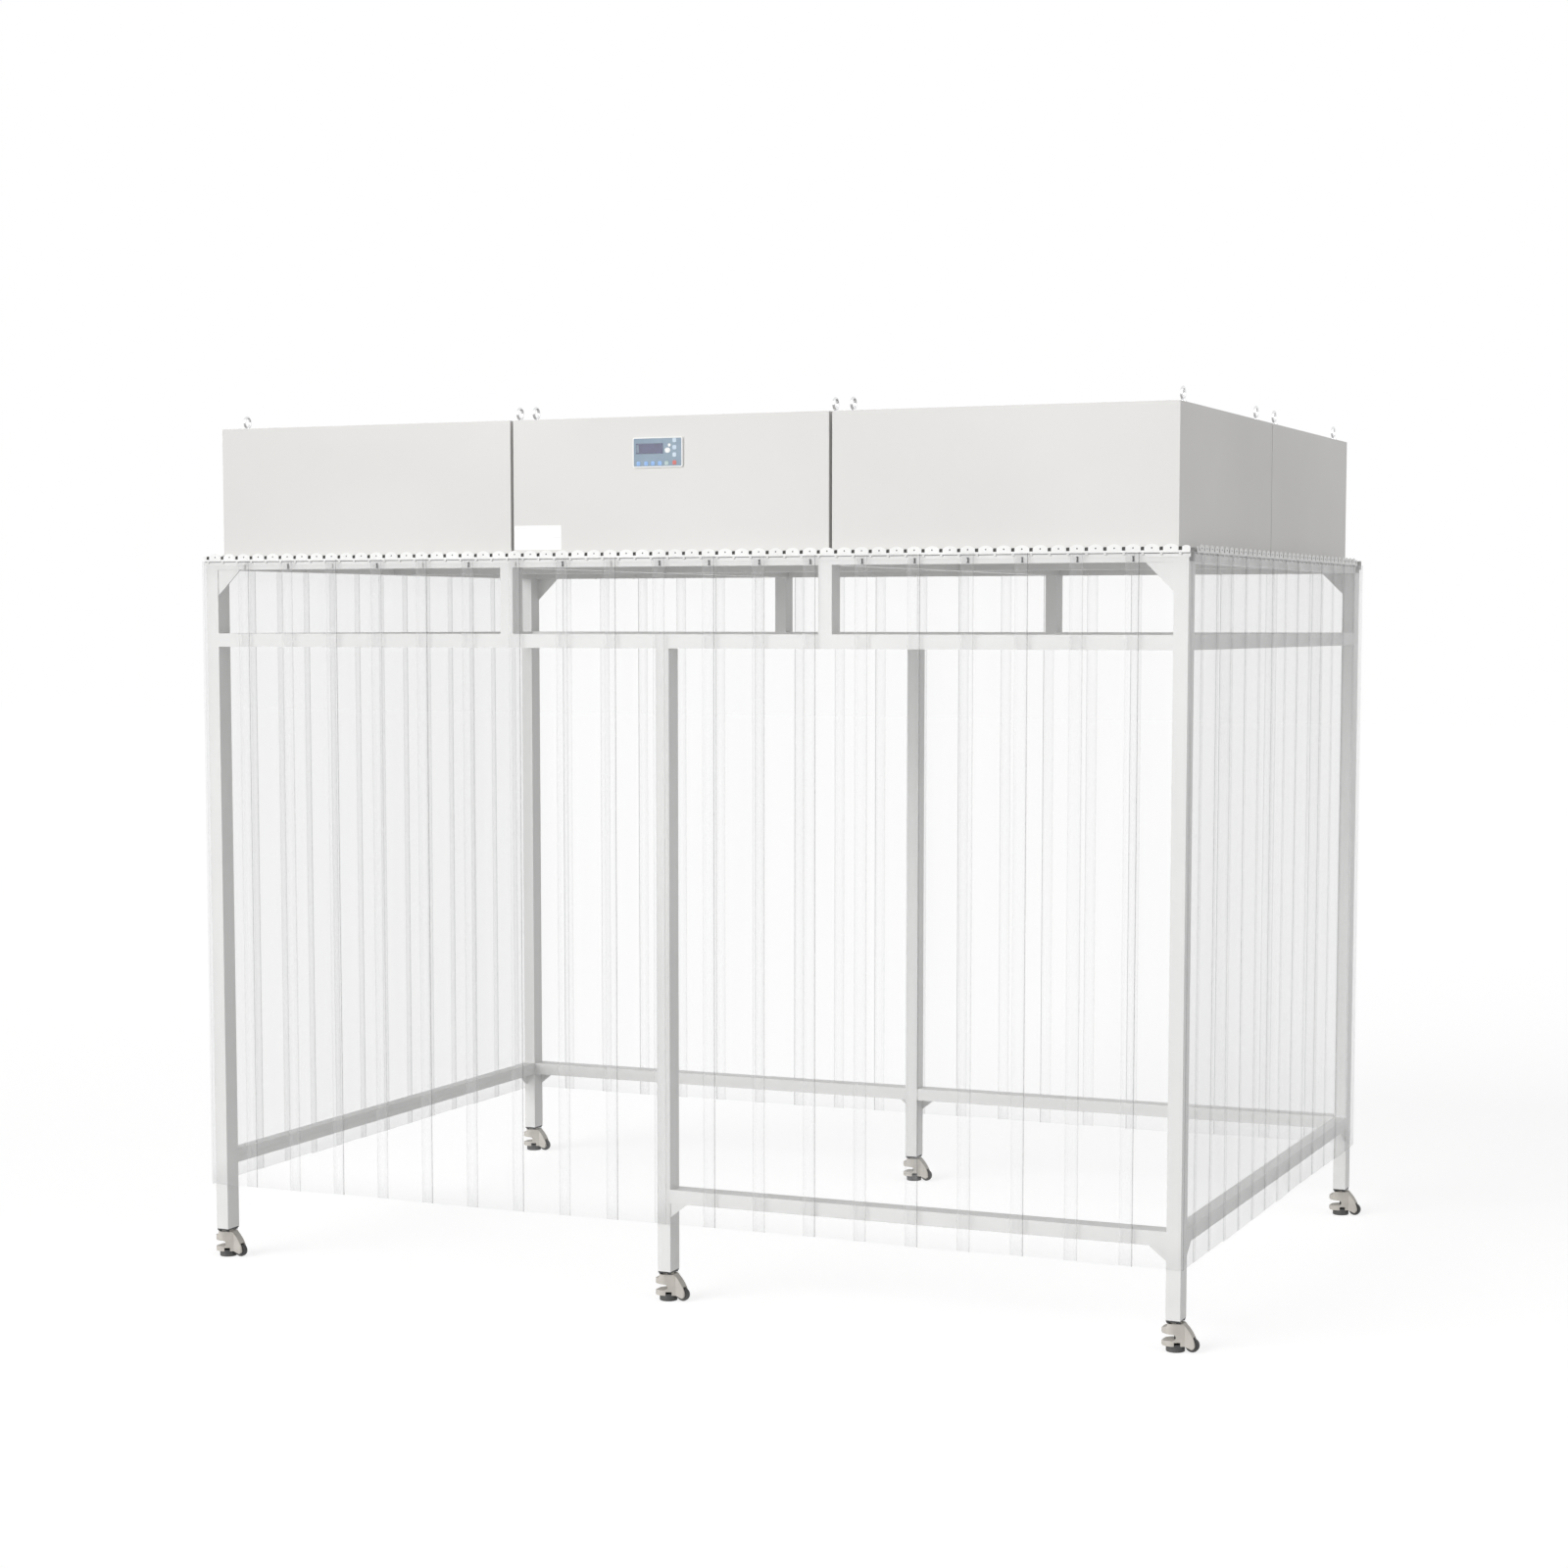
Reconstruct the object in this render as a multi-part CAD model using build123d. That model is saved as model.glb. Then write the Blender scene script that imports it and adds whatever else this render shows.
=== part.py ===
"""Clean booth: a steel frame on six levelling casters, six fan filter units as its ceiling and clear
strip curtains on all four sides. Millimetres, +Z up, front towards -Y. The origin is on the floor at
the centre of the overall footprint."""

import os
from math import atan2, ceil, cos, degrees, pi, radians, sin, sqrt

from build123d import *

# Fan filter units: square modules, side by side
module_side = 1220.0
module_height = 473.0
module_gap = 12.0
module_columns = 3
module_rows = 2
casing_wall = 2.0
casing_lip = 22.0
inlet_radius = 190.0
inlet_cover_side = 600.0
inlet_cover_height = 16.0
inlet_cover_rim = 36.0
inlet_slots = 8
inlet_slot_share = 0.45
filter_height = 69.0
filter_rim = 24.0
filter_recess = 6.0
filter_clearance = 1.0

# Fan inside each unit
impeller_radius = 210.0
impeller_eye_radius = 130.0
impeller_height = 122.0
impeller_plate = 3.0
impeller_to_filter = 260.0
blade_count = 7
blade_thickness = 3.0
blade_inner_radius = 122.0
blade_outer_radius = 204.0
blade_sweep = 48.0
blade_middle_turn = 20.0
fan_hub_radius = 24.0
fan_hub_height = 30.0
motor_radius = 56.0
motor_shaft_radius = 8.0
motor_shaft_below_plate = 3.0
motor_bar_width = 44.0
motor_bar_height = 6.0
motor_bar_seat = 40.0
motor_above_hub = 12.0

# Lifting eye bolts on the units
eye_ring_radius = 24.0
eye_wire_radius = 5.0
eye_collar_radius = 12.5
eye_collar_height = 8.0
eye_neck_radius = 6.5
eye_centre_height = 32.0
eye_from_side_edge = 27.0
eye_from_front_edge = 127.0

# Frame of rectangular tube
tube_face = 50.0
tube_depth = 75.0
tube_wall = 2.5
frame_margin = 48.0
bottom_rail_height = 356.0
header_height = 236.0
top_beam_height = 2608.0
end_plate = 5.0
groove_height = 4.0
groove_depth = 1.2

# Gusset plates
gusset_thickness = 6.0
gusset_setback = 3.0
upper_gusset_leg = 95.0
lower_gusset_leg = 60.0
lower_gusset_drop = 50.0
gusset_tip = 8.0

# Hook rails that carry the strips
hooks_per_strip = 3
strip_pitch = 190.2
hook_gap = 12.0
hook_rise = 10.0
hook_side = 19.0
hook_root = 8.0
hook_plate = 2.0
hook_standoff = 5.0
hook_above_beam = 9.0
hook_flange = 16.0
hook_rail_overrun = 6.0
hook_shift = -8.0

# Clear strips
strip_width = 238.0
strip_thickness = 2.0
strip_layer_gap = 2.5
strip_to_hook = 0.3
long_curtain_overrun = 12.0
side_curtain_overrun = 4.0
strip_bottom = 281.0
strip_top_below_hook = 7.0

# Control panel on the front middle unit
panel_width = 193.0
panel_height = 105.0
panel_thickness = 6.0
panel_corner = 5.0
panel_inner_corner = 3.0
panel_rim = 4.0
panel_recess = 1.2
panel_from_unit_left = 478.0
panel_above_unit_bottom = 295.0

# Levelling casters
caster_height = 109.0
plate_thickness = 5.0
plate_inset = 1.0
bolt_across_flats = 13.0
bolt_head_height = 5.0
bolt_spacing_x = 33.0
bolt_spacing_y = 57.0
king_pin_radius = 8.0
king_pin_length = 12.0
neck_radius = 20.0
neck_step = 5.0
swivel_gap = 0.3
shaft_clearance = 0.05
body_top = 97.0
jaw_reach = 47.0
jaw_radius = 36.0
jaw_wrap = 62.0
jaw_lip = 9.0
jaw_taper = 2.0
brow_reach = 26.0
upper_jaw_top = 85.0
upper_jaw_nose = 73.0
lower_jaw_nose = 30.0
gap_top = 61.0
gap_bottom = 41.0
gap_end = 9.0
skirt_bottom = 21.0
skirt_roof = 34.0
hole_web = 1.0
fork_root = 36.0
fork_half_width = 18.0
fork_rise = 10.0
fork_back_reach = 55.0
fork_back_height = 66.0
fork_top_reach = 28.0
wheel_radius = 23.5
wheel_width = 20.0
wheel_offset = 58.0
wheel_above_floor = 1.5
wheel_round = 5.0
wheel_side_gap = 1.5
wheel_rim_gap = 3.5
axle_radius = 4.0
hub_radius = 12.5
hub_boss = 1.5
hub_boss_radius = 10.5
foot_radius = 32.0
foot_height = 26.0
foot_round = 3.0
foot_side_gap = 1.2
foot_travel_up = 7.0
spindle_radius = 5.0
spindle_clearance = 1.0

# Sizes that follow
block_length = module_columns * module_side + (module_columns - 1) * module_gap
block_width = module_rows * module_side + (module_rows - 1) * module_gap
frame_length = block_length + 2 * frame_margin
frame_width = block_width + 2 * frame_margin
beam_top = top_beam_height + tube_face
mid_rail_height = top_beam_height - header_height - tube_face
hook_pitch = strip_pitch / hooks_per_strip
module_pitch = module_side + module_gap
wheel_height = wheel_above_floor + wheel_radius
strip_lean = strip_width * (strip_thickness + strip_layer_gap) / strip_pitch
curtain_middle = hook_standoff + hook_plate + strip_to_hook + (strip_lean + strip_thickness) / 2
curtain_reach = curtain_middle + (strip_lean + strip_thickness) / 2
caster_reach_left = jaw_reach - tube_face / 2
caster_reach_right = wheel_offset + wheel_radius - tube_face / 2
reach_left = max(caster_reach_left, curtain_reach)
reach_right = max(caster_reach_right, curtain_reach)
frame_centre_x = (reach_left - reach_right) / 2

SIDES = ("left", "middle", "right")
LONG_SIDES = ("front", "back")
POST_PLACES = [(row, side) for row in ("front", "back") for side in SIDES]


def write(shape, node):
    """Writes one node, its solids moved so that the footprint's centre is the origin."""
    export_step(Pos(frame_centre_x, 0, 0) * shape, f"parts/{node}.step")


def block(x0, x1, y0, y1, z0, z1):
    """A plain block between two corners."""
    centre = Pos((x0 + x1) / 2, (y0 + y1) / 2, (z0 + z1) / 2)
    return centre * Box(x1 - x0, y1 - y0, z1 - z0)


def upright(radius, z0, z1, x=0.0, y=0.0):
    """A plain upright cylinder between two heights."""
    return Pos(x, y, (z0 + z1) / 2) * Cylinder(radius, z1 - z0)


def tube(x0, x1, y0, y1, z0, z1, along):
    """A rectangular tube with open ends, along one axis."""
    outer = block(x0, x1, y0, y1, z0, z1)
    inset = {axis: 0.0 if axis == along else tube_wall for axis in "XYZ"}
    inner = block(
        x0 + inset["X"], x1 - inset["X"],
        y0 + inset["Y"], y1 - inset["Y"],
        z0 + inset["Z"], z1 - inset["Z"],
    )
    return outer - inner


# Posts

def post_centre(row, side):
    """Centre of a post in plan."""
    x = {"left": -1, "middle": 0, "right": 1}[side] * (frame_length - tube_face) / 2
    y = {"front": -1, "back": 1}[row] * (frame_width - tube_depth) / 2
    return x, y


def post(row, side):
    """An upright tube with the plate that its caster bolts to. The middle ones end under the mid rail."""
    x, y = post_centre(row, side)
    top = mid_rail_height if side == "middle" else top_beam_height
    x0, x1 = x - tube_face / 2, x + tube_face / 2
    y0, y1 = y - tube_depth / 2, y + tube_depth / 2
    foot = block(x0, x1, y0, y1, caster_height, caster_height + end_plate)
    return tube(x0, x1, y0, y1, caster_height, top, "Z") + foot


# Rails and beams

def long_member(row, x0, x1, z0):
    """A tube along the front or the back, as deep as the posts."""
    centre = post_centre(row, "left")[1]
    return tube(x0, x1, centre - tube_depth / 2, centre + tube_depth / 2, z0, z0 + tube_face, "X")


def side_member(side, width, z0):
    """A tube along the left or the right, between the front and back members."""
    outer = frame_length / 2
    x0, x1 = (-outer, width - outer) if side == "left" else (outer - width, outer)
    reach = frame_width / 2 - tube_depth
    return tube(x0, x1, -reach, reach, z0, z0 + tube_face, "Y")


def groove_along_x(row, x0, x1, z0):
    """The shallow groove along the inner face of a back member."""
    inner = abs(post_centre(row, "left")[1]) - tube_depth / 2
    z = z0 + tube_face / 2
    return block(x0, x1, inner, inner + groove_depth, z - groove_height / 2, z + groove_height / 2)


def groove_along_y(side, z0):
    """The shallow groove along the inner face of a left member."""
    inner = tube_face - frame_length / 2
    reach = frame_width / 2 - tube_depth
    z = z0 + tube_face / 2
    return block(inner - groove_depth, inner, -reach, reach, z - groove_height / 2, z + groove_height / 2)


def long_top_beams():
    """Front and back beams over the corner posts, full length."""
    half = frame_length / 2
    return Compound([long_member(row, -half, half, top_beam_height) for row in ("front", "back")])


def side_top_beams():
    """Left and right beams, wide enough to carry the units."""
    return Compound([side_member(side, tube_depth, top_beam_height) for side in ("left", "right")])


def column_seams():
    """Where the columns of units meet, along X."""
    return [module_pitch * (n - module_columns / 2) for n in range(1, module_columns)]


def ceiling_beams():
    """Beams under the seams: front to back under the columns' seams, short ones under the rows' seam."""
    reach = frame_width / 2 - tube_depth
    half = tube_depth / 2
    z0, z1 = top_beam_height, beam_top
    beams = [tube(x - half, x + half, -reach, reach, z0, z1, "Y") for x in column_seams()]
    edges = [tube_depth - frame_length / 2]
    for x in column_seams():
        edges += [x - half, x + half]
    edges.append(frame_length / 2 - tube_depth)
    beams += [tube(x0, x1, -half, half, z0, z1, "X") for x0, x1 in zip(edges[::2], edges[1::2])]
    return Compound(beams)


def mid_rail(row):
    """Front or back rail over the middle post, between the corner posts."""
    half = frame_length / 2 - tube_face
    rail = long_member(row, -half, half, mid_rail_height)
    return rail - groove_along_x(row, -half, half, mid_rail_height) if row == "back" else rail


def side_rails(z0):
    """Left and right rails at one height. The left one has its groove towards the inside."""
    left = side_member("left", tube_face, z0) - groove_along_y("left", z0)
    return Compound([left, side_member("right", tube_face, z0)])


def bottom_rail(row, x0, x1):
    """One bottom rail between a middle post and a corner post."""
    rail = long_member(row, x0, x1, bottom_rail_height)
    return rail - groove_along_x(row, x0, x1, bottom_rail_height) if row == "back" else rail


def back_bottom_rails():
    """The two halves of the back bottom rail, either side of the middle post."""
    near, far = tube_face / 2, frame_length / 2 - tube_face
    return Compound([bottom_rail("back", -far, -near), bottom_rail("back", near, far)])


def header_studs():
    """Short studs from the mid rail to the top beam, under the seams, front and back."""
    z0 = mid_rail_height + tube_face
    studs = []
    for row in ("front", "back"):
        y = post_centre(row, "left")[1]
        for x in column_seams():
            studs.append(tube(
                x - tube_face / 2, x + tube_face / 2,
                y - tube_depth / 2, y + tube_depth / 2,
                z0, top_beam_height, "Z",
            ))
    return Compound(studs)


# Gussets

def gusset_profile(leg, drop):
    """A right-angled plate in XZ, its corner at the origin, running to +X and down, tips clipped."""
    slope = drop / leg
    return make_face(Polyline(
        (0, 0), (leg, 0), (leg - gusset_tip / 4, -gusset_tip / 2),
        (gusset_tip, -drop + gusset_tip * slope), (0, -drop), close=True,
    ))


def gusset(corner, toward, leg, drop, along):
    """One plate under a rail, in the X or the Y direction from a post, sign by toward."""
    plate = extrude(Plane.XZ * gusset_profile(leg, drop), gusset_thickness)
    plate = Pos(0, gusset_thickness, 0) * plate
    if toward < 0:
        plate = mirror(plate, Plane.YZ)
    if along == "Y":
        plate = Rot(0, 0, 90) * plate
    return Pos(*corner) * plate


def upper_gussets():
    """Plates under the front and back top beams at the corner posts."""
    plates = []
    for row, outward in (("front", -1), ("back", 1)):
        y_face = outward * (frame_width / 2 - gusset_setback)
        y = y_face if outward < 0 else y_face - gusset_thickness
        for toward in (1, -1):
            x = -toward * (frame_length / 2 - tube_face)
            plates.append(gusset(
                (x, y, top_beam_height), toward, upper_gusset_leg, upper_gusset_leg, "X"))
    return Compound(plates)


def lower_gussets():
    """Plates under the bottom rails at the posts that end them."""
    near, far = tube_face / 2, frame_length / 2 - tube_face
    reach = frame_width / 2 - tube_depth
    front = gusset_setback - frame_width / 2
    back = frame_width / 2 - gusset_setback - gusset_thickness
    outer = frame_length / 2 - gusset_setback
    along_x = [(near, front, 1), (far, front, -1), (-far, back, 1), (far, back, -1)]
    along_x += [(near, back, 1), (-near, back, -1)]
    along_y = [(-outer + gusset_thickness, -reach, 1), (-outer + gusset_thickness, reach, -1)]
    along_y += [(outer, -reach, 1), (outer, reach, -1)]
    leg, drop, z = lower_gusset_leg, lower_gusset_drop, bottom_rail_height
    plates = [gusset((x, y, z), toward, leg, drop, "X") for x, y, toward in along_x]
    plates += [gusset((x, y, z), toward, leg, drop, "Y") for x, y, toward in along_y]
    return Compound(plates)


# Hook rails and strips

def hook_ends(side):
    """Both ends of each hook along a rail, which is cut off past the corner posts on the long sides and
    between them on the others, so its last hooks are narrower."""
    long_side = side in LONG_SIDES
    reach = frame_length / 2 + hook_rail_overrun if long_side else frame_width / 2 - tube_depth
    shift = hook_shift if long_side else 0.0
    gaps = round(2 * reach / hook_pitch)
    middles = [(n - (gaps - 1) / 2) * hook_pitch + shift for n in range(gaps)]
    cuts = [-reach] + [x + half for x in middles for half in (-hook_gap / 2, hook_gap / 2)] + [reach]
    return list(zip(cuts[::2], cuts[1::2]))


def hook_rail(side):
    """A folded rail: a flange on the beam, a web under, and a row of round-topped hooks in front."""
    hooks = hook_ends(side)
    start, end = hooks[0][0], hooks[-1][1]
    outline = []
    last = start
    for left, right in hooks:
        if left > start:
            outline.append(Polyline((last, hook_side), (last, hook_root), (left, hook_root), (left, hook_side)))
        rise = hook_rise * min(1, (right - left) / (hook_pitch - hook_gap))
        crown = ((left + right) / 2, hook_side + rise)
        outline.append(ThreePointArc((left, hook_side), crown, (right, hook_side)))
        last = right
    outline.append(Polyline((end, hook_side), (end, 0), (start, 0), (start, hook_side)))
    comb = extrude(Plane.XZ * make_face(outline), hook_plate)
    comb = Pos(0, -hook_standoff, 0) * comb
    web = block(start, end, -hook_standoff, -hook_plate, 0, hook_plate)
    flange = block(start, end, -hook_plate, 0, hook_plate - hook_flange, hook_plate)
    z = beam_top + hook_above_beam - hook_side - hook_rise
    return comb + web + flange, z


def strips(side):
    """The strips of one side, shingled: each is turned a little, so that one edge lies over the next."""
    long_side = side in LONG_SIDES
    along = frame_length if long_side else frame_width
    overrun = long_curtain_overrun if long_side else side_curtain_overrun
    shift = hook_shift if long_side else 0.0
    outer_edge = 1 if long_side else -1
    limit = along / 2 + overrun
    count = ceil(along / strip_pitch)
    top = beam_top + hook_above_beam - hook_rise - strip_top_below_hook
    slope = (strip_thickness + strip_layer_gap) / strip_pitch
    turn = Rot(0, 0, -outer_edge * degrees(atan2(slope, 1)))
    made = []
    for n in range(count):
        x = (n - (count - 1) / 2) * strip_pitch + shift
        x0, x1 = max(x - strip_width / 2, -limit) - x, min(x + strip_width / 2, limit) - x
        inner_end = -x0 if outer_edge > 0 else x1
        y = (strip_width / 2 - inner_end) * slope - curtain_middle
        strip = block(x0, x1, -strip_thickness / 2, strip_thickness / 2, strip_bottom, top)
        made.append(Pos(x, y, 0) * turn * strip)
    return Compound(made)


def place_on(side):
    """Turns what is made for the front, at the face y = 0, to one side of the frame."""
    turn = {"front": 0, "right": 90, "back": 180, "left": 270}[side]
    depth = frame_width / 2 if side in LONG_SIDES else frame_length / 2
    return Rot(0, 0, turn) * Pos(0, -depth, 0)


def hook_rails(sides):
    """Hook rails of two opposite sides."""
    made = []
    for side in sides:
        rail, z = hook_rail(side)
        made += (place_on(side) * Pos(0, 0, z) * rail).solids()
    return Compound(made)


# Fan filter units

def unit_places():
    """Centres of the units in plan, front row first, left to right."""
    xs = [module_pitch * (n - (module_columns - 1) / 2) for n in range(module_columns)]
    ys = [module_pitch * (n - (module_rows - 1) / 2) for n in range(module_rows)]
    return [(x, y) for y in ys for x in xs]


def at_units(make):
    """A group of one piece per unit."""
    return Compound([Pos(x, y, beam_top) * make() for x, y in unit_places()])


def casing():
    """Sheet casing, open below onto its filter, with a lip that the filter sits on and a round inlet."""
    half = module_side / 2
    inner = half - casing_wall
    mouth = inner - casing_lip
    shell = block(-half, half, -half, half, 0, module_height)
    shell -= block(-inner, inner, -inner, inner, casing_wall, module_height - casing_wall)
    shell -= block(-mouth, mouth, -mouth, mouth, 0, casing_wall)
    return shell - upright(inlet_radius, module_height - casing_wall, module_height)


def filter_pack():
    """The final filter: a framed pack whose two faces lie back from its rim."""
    half = module_side / 2 - casing_wall - filter_clearance
    face = half - filter_rim
    z0, z1 = casing_wall, casing_wall + filter_height
    pack = block(-half, half, -half, half, z0, z1)
    pack -= block(-face, face, -face, face, z0, z0 + filter_recess)
    return pack - block(-face, face, -face, face, z1 - filter_recess, z1)


def inlet_cover():
    """The slotted cover over the inlet, on the casing's top."""
    half = inlet_cover_side / 2
    inner = half - casing_wall
    z0, z1 = module_height, module_height + inlet_cover_height
    cover = block(-half, half, -half, half, z0, z1)
    cover -= block(-inner, inner, -inner, inner, z0, z1 - casing_wall)
    field = half - inlet_cover_rim
    step = 2 * field / inlet_slots
    slot = step * inlet_slot_share
    for n in range(inlet_slots):
        y = (n + 0.5) * step - field
        cover -= block(-field, field, y - slot / 2, y + slot / 2, z1 - casing_wall, z1)
    return cover


def impeller_bottom():
    """Height of the impeller's lower plate over the casing's bottom."""
    return casing_wall + filter_height + impeller_to_filter - impeller_height


def blade():
    """One backward-swept blade, on end."""
    def point(turn, radius):
        return radius * cos(radians(turn)), radius * sin(radians(turn))

    middle = point(blade_middle_turn, (blade_inner_radius + blade_outer_radius) / 2)
    route = ThreePointArc(point(0, blade_inner_radius), middle, point(blade_sweep, blade_outer_radius))
    face = trace(route, blade_thickness)
    return extrude(face, impeller_height - 2 * impeller_plate)


def impeller():
    """Centrifugal impeller: lower plate with its hub, swept blades and the upper ring."""
    z0 = impeller_bottom()
    z1 = z0 + impeller_height
    wheel = upright(impeller_radius, z0, z0 + impeller_plate)
    wheel += upright(fan_hub_radius, z0 + impeller_plate, z0 + impeller_plate + fan_hub_height)
    wheel -= upright(motor_shaft_radius + shaft_clearance, z0, z0 + impeller_plate + fan_hub_height)
    wheel += upright(impeller_radius, z1 - impeller_plate, z1) - upright(
        impeller_eye_radius, z1 - impeller_plate, z1)
    for n in range(blade_count):
        wheel += Pos(0, 0, z0 + impeller_plate) * Rot(0, 0, 360 * n / blade_count) * blade()
    return wheel


def fan_motor():
    """The motor and its shaft under a bar that crosses the inlet below the casing's top."""
    roof = module_height - casing_wall
    hub_top = impeller_bottom() + impeller_plate + fan_hub_height
    reach = inlet_radius + motor_bar_seat
    half = motor_bar_width / 2
    motor = block(-reach, reach, -half, half, roof - motor_bar_height, roof)
    motor += upright(motor_radius, hub_top + motor_above_hub, roof - motor_bar_height)
    shaft_end = impeller_bottom() - motor_shaft_below_plate
    return motor + upright(motor_shaft_radius, shaft_end, hub_top + motor_above_hub)


def eye_bolt():
    """A lifting eye of round bar on its collar, standing on the casing's top and looking to the sides."""
    z = module_height + eye_centre_height
    bend_radius = eye_ring_radius - eye_wire_radius
    ring = Pos(0, 0, z) * Rot(0, 90, 0) * Torus(bend_radius, eye_wire_radius)
    collar = upright(eye_collar_radius, module_height, module_height + eye_collar_height)
    neck = upright(eye_neck_radius, module_height, z - bend_radius)
    return collar + neck + ring


def eye_bolts():
    """Four lifting eyes on each unit."""
    dx = module_side / 2 - eye_from_side_edge
    dy = module_side / 2 - eye_from_front_edge
    bolt = eye_bolt()
    return Compound([
        Pos(x + sx * dx, y + sy * dy, beam_top) * bolt
        for x, y in unit_places() for sx in (-1, 1) for sy in (-1, 1)
    ])


def control_panel():
    """A flat panel with a raised rim on the front middle unit's face."""
    plate = RectangleRounded(panel_width, panel_height, panel_corner)
    inner = RectangleRounded(
        panel_width - 2 * panel_rim, panel_height - 2 * panel_rim, panel_inner_corner)
    body = extrude(plate, panel_thickness)
    body -= Pos(0, 0, panel_thickness - panel_recess) * extrude(inner, panel_recess)
    x = panel_from_unit_left + panel_width / 2 - module_side / 2
    z = beam_top + panel_above_unit_bottom + panel_height / 2
    return Pos(x, -block_width / 2, z) * Rot(90, 0, 0) * body


# Levelling casters

def hexagon_head(x, y):
    """A bolt head under the top plate."""
    head = extrude(RegularPolygon(bolt_across_flats / sqrt(3), 6), bolt_head_height)
    return Pos(x, y, caster_height - plate_thickness - bolt_head_height) * head


def top_plate():
    """The caster's top plate with its king pin, and the four bolt heads under it."""
    dx, dy = tube_face / 2 - plate_inset, tube_depth / 2 - plate_inset
    z = caster_height - plate_thickness
    plate = block(-dx, dx, -dy, dy, z, caster_height)
    plate += upright(king_pin_radius, z - king_pin_length, z)
    heads = [
        hexagon_head(sx * bolt_spacing_x / 2, sy * bolt_spacing_y / 2)
        for sx in (-1, 1) for sy in (-1, 1)
    ]
    return [plate, *heads]


def body_side():
    """Side outline of the cast body, jaws to the left and the fork's leg to the right."""
    lip = jaw_lip - jaw_reach
    top_left, neck = (-neck_radius, body_top), (-neck_radius, body_top - neck_step)
    brow, upper_lip = (lip, upper_jaw_top - jaw_taper), (lip, gap_top + jaw_taper)
    lower_lip, skirt_left = (lip, gap_bottom - jaw_taper), (lip, skirt_bottom)
    hub_low = (wheel_offset, wheel_height - hub_radius)
    hub_corner = (wheel_offset + hub_radius * cos(pi / 4), wheel_height - hub_radius * sin(pi / 4))
    hub_back = (wheel_offset + hub_radius, wheel_height)
    leg_back = (wheel_offset + hub_radius - hub_boss, wheel_height + fork_rise)
    top_right = (fork_top_reach, body_top)
    return make_face([
        Polyline(top_left, neck),
        ThreePointArc(neck, (-brow_reach, upper_jaw_top), brow),
        ThreePointArc(brow, (-jaw_reach, upper_jaw_nose), upper_lip),
        Polyline(upper_lip, (0, gap_top)),
        ThreePointArc((0, gap_top), (gap_end, (gap_top + gap_bottom) / 2), (0, gap_bottom)),
        Polyline((0, gap_bottom), lower_lip),
        ThreePointArc(lower_lip, (-jaw_reach, lower_jaw_nose), skirt_left),
        Polyline(skirt_left, (fork_root, skirt_bottom), hub_low),
        ThreePointArc(hub_low, hub_corner, hub_back),
        Polyline(hub_back, leg_back),
        ThreePointArc(leg_back, (fork_back_reach, fork_back_height), top_right),
        Polyline(top_right, top_left),
    ])


def body_plan():
    """Plan outline of the cast body: round over the foot, narrower at the fork."""
    centre = jaw_radius - jaw_reach
    turn = radians(jaw_wrap)
    x, y = centre + jaw_radius * cos(turn), jaw_radius * sin(turn)
    far = wheel_offset + 2 * hub_radius
    w = fork_half_width
    return make_face([
        ThreePointArc((x, y), (-jaw_reach, 0), (x, -y)),
        Polyline((x, -y), (fork_root, -w), (far, -w), (far, w), (fork_root, w), (x, y)),
    ])


def caster_body():
    """The cast swivel body with its jaws, skirt, fork and axle."""
    side = extrude(Plane.XZ * body_side(), jaw_radius, both=True)
    plan = extrude(body_plan(), caster_height)
    body = side & plan
    body += upright(neck_radius, body_top, caster_height - plate_thickness - swivel_gap)
    body -= upright(foot_radius + foot_side_gap, 0, skirt_roof)
    body -= upright(spindle_radius + shaft_clearance, skirt_roof, pin_floor() - hole_web)
    body -= upright(king_pin_radius + shaft_clearance, pin_floor(), caster_height)
    slot = wheel_width / 2 + wheel_side_gap
    well = Pos(wheel_offset, 0, wheel_height) * Rot(90, 0, 0)
    body -= well * Cylinder(wheel_radius + wheel_rim_gap, 2 * slot)
    body -= block(wheel_offset - hub_radius, wheel_offset + 2 * hub_radius, -slot, slot, 0, wheel_height)
    for end in (-1, 1):
        y = end * (fork_half_width + hub_boss / 2)
        body += Pos(0, y, 0) * well * Cylinder(hub_boss_radius, hub_boss)
    axle_length = 2 * (fork_half_width + hub_boss)
    body -= well * Cylinder(axle_radius, axle_length)
    axle = well * Cylinder(axle_radius, axle_length)
    return [*body.solids(), axle]


def pin_floor():
    """Bottom of the hole that takes the king pin."""
    return caster_height - plate_thickness - king_pin_length - swivel_gap


def caster_wheel():
    """The small wheel on its axle, its tread rounded."""
    wheel = Cylinder(wheel_radius, wheel_width)
    wheel = fillet(wheel.edges(), wheel_round)
    wheel -= Cylinder(axle_radius + shaft_clearance, wheel_width)
    return Pos(wheel_offset, 0, wheel_height) * Rot(90, 0, 0) * wheel


def caster_foot():
    """The levelling foot with its spindle, screwed down to the floor."""
    pad = upright(foot_radius, 0, foot_height)
    pad = fillet(pad.edges().group_by(Axis.Z)[0], foot_round)
    spindle_top = pin_floor() - hole_web - foot_travel_up - spindle_clearance
    return pad + upright(spindle_radius, foot_height, spindle_top)


def write_casters():
    """Six casters under the posts: a group of top plates, and body, wheel and foot as their own nodes."""
    plates = []
    for row, side in POST_PLACES:
        place = Pos(*post_centre(row, side), 0)
        plates += [place * solid for solid in top_plate()]
        name = f"{row}_{side}_caster"
        write(place * Compound(caster_body()), f"{name}_body")
        write(place * caster_wheel(), f"{name}_wheel")
        write(place * caster_foot(), f"{name}_foot")
    write(Compound(plates), "caster_top_plates")


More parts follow.
